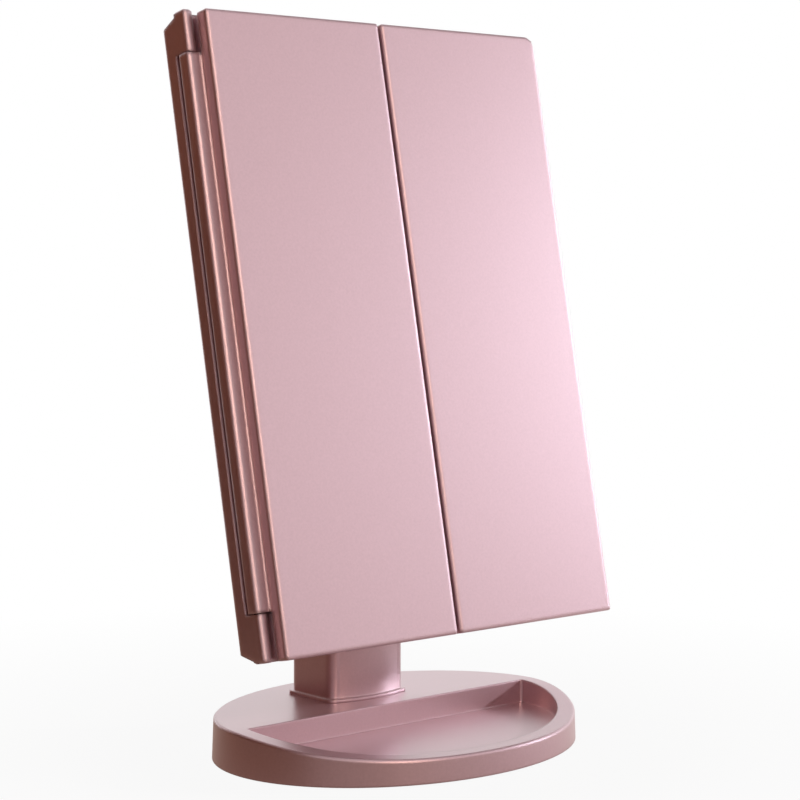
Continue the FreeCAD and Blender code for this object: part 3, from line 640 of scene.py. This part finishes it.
@dataclass
class Studio:
    """The camera, the pale floor, the lamps and the cards that the lacquer reflects."""

    eye: tuple[float, float, float] = (-546.86, -633.81, 198.8)
    yaw: float = 40.825
    pitch: float = 4.16
    roll: float = 0.177
    lens: float = 96.15
    sensor: float = 36.0
    aim: tuple[float, float, float] = (0.0, 0.0, 130.0)
    lamps: tuple[Lamp, ...] = (
        Lamp("key_lamp", (1680.0, -780.0, 500.0), (700.0, 800.0), 12.0, "E2F2FF", matte=False),
        Lamp("side_lamp", (1400.0, -850.0, 520.0), (100.0, 100.0), 24.0, "F6F6FA", gloss=False),
        Lamp("edge_lamp", (-220.0, -1500.0, 750.0), (420.0, 1000.0), 10.0, "FFE6CC", matte=False),
        Lamp("back_lamp", (1500.0, 900.0, 900.0), (800.0, 800.0), 13.0, "DCEBFF", gloss=False),
        Lamp("rear_lamp", (300.0, 1500.0, 200.0), (700.0, 500.0), 9.0, "F6F6FA", gloss=False),
    )
    sky: float = 0.15
    sky_tone: str = "F0EEF0"
    paper_rough: float = 0.9
    floor_tone: str = "A8A09C"
    floor_reach: float = 6000.0
    floor_near: float = 100.0
    floor_far: float = 350.0
    floor_white: float = 0.93
    card_x: float = -230.0
    card_along: tuple[float, float] = (-100.0, 1500.0)
    card_split: float = 25.0
    card_top: float = 560.0
    card_tone: str = "4E2614"
    brown_tone: str = "6E442C"
    low_height: float = 0.3
    low_across: tuple[float, float] = (-900.0, 900.0)
    low_along: tuple[float, float] = (-900.0, 500.0)
    low_tone: str = "937664"
    low_pale: str = "E6DCD8"
    low_from: float = -110.0
    low_to: float = 150.0
    high_height: float = 900.0
    high_across: tuple[float, float] = (280.0, 1400.0)
    high_along: tuple[float, float] = (-250.0, 300.0)
    high_tone: str = "2A2422"

    def build(self) -> None:
        """Sets up camera, lamps, world, floor and cards."""
        bpy.context.scene.view_settings.view_transform = "Standard"
        self.camera()
        for lamp in self.lamps:
            lamp.hang(self.aim)
        self.world()
        self.floor()
        self.side_cards()
        self.low_card()
        self.high_card()

    def camera(self) -> None:
        """Stands the camera where the photograph was taken from."""
        yaw, pitch, roll = (math.radians(angle) for angle in (self.yaw, self.pitch, self.roll))
        ahead = Vector((math.sin(yaw) * math.cos(pitch), math.cos(yaw) * math.cos(pitch),
                        -math.sin(pitch)))
        right = Vector((math.cos(yaw), -math.sin(yaw), 0))
        up = right.cross(ahead)
        rolled_right = math.cos(roll) * right + math.sin(roll) * up
        rolled_up = math.cos(roll) * up - math.sin(roll) * right
        axes = Matrix((rolled_right, rolled_up, -ahead)).transposed().to_4x4()
        data = bpy.data.cameras.new("photo_camera")
        data.lens = self.lens
        data.sensor_width = self.sensor
        made = bpy.data.objects.new("photo_camera", data)
        made.matrix_world = Matrix.Translation(Vector(self.eye) * MM) @ axes
        bpy.context.scene.collection.objects.link(made)
        bpy.context.scene.camera = made

    def world(self) -> None:
        """Makes an even sky that the camera, glass and gloss see as white."""
        world = bpy.data.worlds.new("studio_sky")
        world.use_nodes = True
        tree = world.node_tree
        tree.nodes.clear()
        light = add_node(tree, "ShaderNodeBackground", {
            "Color": linear(self.sky_tone), "Strength": self.sky})
        white = add_node(tree, "ShaderNodeBackground", {"Color": WHITE, "Strength": 1.0})
        both = add_node(tree, "ShaderNodeMixShader", {
            0: self.seen(tree).outputs[0], 1: light.outputs[0], 2: white.outputs[0]})
        add_node(tree, "ShaderNodeOutputWorld", {"Surface": both.outputs[0]})
        bpy.context.scene.world = world

    def seen(self, tree: bpy.types.NodeTree) -> bpy.types.Node:
        """Tells the rays that look at the background from those that only light the mirror.

        Args:
            tree: the tree that gets the nodes.

        Returns:
            A node that gives 1 for camera, glossy and transmission rays.
        """
        path = add_node(tree, "ShaderNodeLightPath")
        shown = add_node(tree, "ShaderNodeMath", {
            0: path.outputs["Is Camera Ray"], 1: path.outputs["Is Glossy Ray"]}, operation="MAXIMUM")
        return add_node(tree, "ShaderNodeMath", {
            0: shown.outputs[0], 1: path.outputs["Is Transmission Ray"]}, operation="MAXIMUM")

    def sheet(self, name: str, corners: list[tuple[float, float, float]], tone: str) -> bpy.types.Object:
        """Makes a flat sheet of the studio.

        Args:
            name: the sheet's name.
            corners: its corners.
            tone: its colour.

        Returns:
            The sheet.
        """
        mesh = bpy.data.meshes.new(name)
        mesh.from_pydata([Vector(corner) * MM for corner in corners], [], [list(range(len(corners)))])
        paper = bpy.data.materials.new(name + "_paper")
        paper.use_nodes = True
        shader = paper.node_tree.nodes["Principled BSDF"]
        shader.inputs["Base Color"].default_value = linear(tone)
        shader.inputs["Roughness"].default_value = self.paper_rough
        mesh.materials.append(paper)
        made = piece(name, mesh)
        return made

    def level_sheet(self, name: str, across: tuple[float, float], along: tuple[float, float],
                    height: float, tone: str) -> bpy.types.Object:
        """Makes a level, four-cornered sheet.

        Args:
            name: the sheet's name.
            across: its ends in X.
            along: its ends in Y.
            height: its Z.
            tone: its colour.

        Returns:
            The sheet.
        """
        (left, right), (near, far) = across, along
        return self.sheet(name, [(left, near, height), (right, near, height), (right, far, height),
                                 (left, far, height)], tone)

    def show(self, tree: bpy.types.NodeTree, shader: bpy.types.Node) -> None:
        """Makes a shader the one that a sheet's surface takes."""
        tree.links.new(shader.outputs[0], tree.nodes["Material Output"].inputs["Surface"])

    def leave_to_gloss(self, made: bpy.types.Object) -> None:
        """Hides a card from the camera and from matte light, so that only reflections show it."""
        made.visible_camera = made.visible_diffuse = made.visible_shadow = False

    def floor(self) -> None:
        """Lays the pale floor: it takes the shadow near the mirror and fades to white further out."""
        ends = (-self.floor_reach, self.floor_reach)
        made = self.level_sheet("floor", ends, ends, 0.0, self.floor_tone)
        tree = made.data.materials[0].node_tree
        place = add_node(tree, "ShaderNodeTexCoord")
        far = add_node(tree, "ShaderNodeVectorMath", {0: place.outputs["Object"]}, operation="LENGTH")
        fade = add_node(tree, "ShaderNodeMapRange", {
            "Value": far.outputs["Value"], "From Min": self.floor_near * MM,
            "From Max": self.floor_far * MM, "To Min": self.floor_white, "To Max": 1.0})
        share = add_node(tree, "ShaderNodeMath", {
            0: self.seen(tree).outputs[0], 1: fade.outputs[0]}, operation="MULTIPLY")
        white = add_node(tree, "ShaderNodeEmission", {"Color": WHITE, "Strength": 1.0})
        self.show(tree, add_node(tree, "ShaderNodeMixShader", {
            0: share.outputs[0], 1: tree.nodes["Principled BSDF"].outputs[0], 2: white.outputs[0]}))

    def side_cards(self) -> None:
        """Stands two brown cards to the left, out of the camera's sight, as photographers do for metal."""
        x, (near, far) = self.card_x, self.card_along
        for name, low, high, tone in (("dark_card", 0.0, self.card_split, self.card_tone),
                                      ("brown_card", self.card_split, self.card_top, self.brown_tone)):
            made = self.sheet(name, [(x, near, low), (x, far, low), (x, far, high), (x, near, high)], tone)
            made.visible_camera = False
            tree = made.data.materials[0].node_tree
            path = add_node(tree, "ShaderNodeLightPath")
            clear = add_node(tree, "ShaderNodeBsdfTransparent")
            # The mirrors' sharp reflections look through the card: only the lacquer's soft gloss shows it.
            self.show(tree, add_node(tree, "ShaderNodeMixShader", {
                0: path.outputs["Is Singular Ray"], 1: tree.nodes["Principled BSDF"].outputs[0],
                2: clear.outputs[0]}))

    def low_card(self) -> None:
        """Lays a card round the foot that only gloss sees, graded from brown on the left to pale."""
        made = self.level_sheet("low_card", self.low_across, self.low_along, self.low_height, self.low_tone)
        self.leave_to_gloss(made)
        tree = made.data.materials[0].node_tree
        place = add_node(tree, "ShaderNodeTexCoord")
        across = add_node(tree, "ShaderNodeSeparateXYZ", {0: place.outputs["Object"]})
        grade = add_node(tree, "ShaderNodeMapRange", {
            "Value": across.outputs["X"], "From Min": self.low_from * MM, "From Max": self.low_to * MM})
        tones = add_node(tree, "ShaderNodeMix", {
            "Factor": grade.outputs[0], MIX_A: linear(self.low_tone), MIX_B: linear(self.low_pale)},
            data_type="RGBA")
        self.show(tree, add_node(tree, "ShaderNodeEmission", {
            "Color": tones.outputs[MIX_RESULT], "Strength": 1.0}))

    def high_card(self) -> None:
        """Hangs a card overhead that only gloss sees, for the dark line along the doors' top edges."""
        self.leave_to_gloss(self.level_sheet("high_card", self.high_across, self.high_along,
                                             self.high_height, self.high_tone))


def main() -> None:
    """Builds and dresses the mirror, then the studio."""
    logging.basicConfig(level=logging.INFO)
    stand, head, doors = Stand(), Head(), Doors()
    for part in (stand, head):
        part.build()
    for part in (stand, head, doors):
        part.dress()
    Studio().build()


if __name__ == "__main__":
    main()
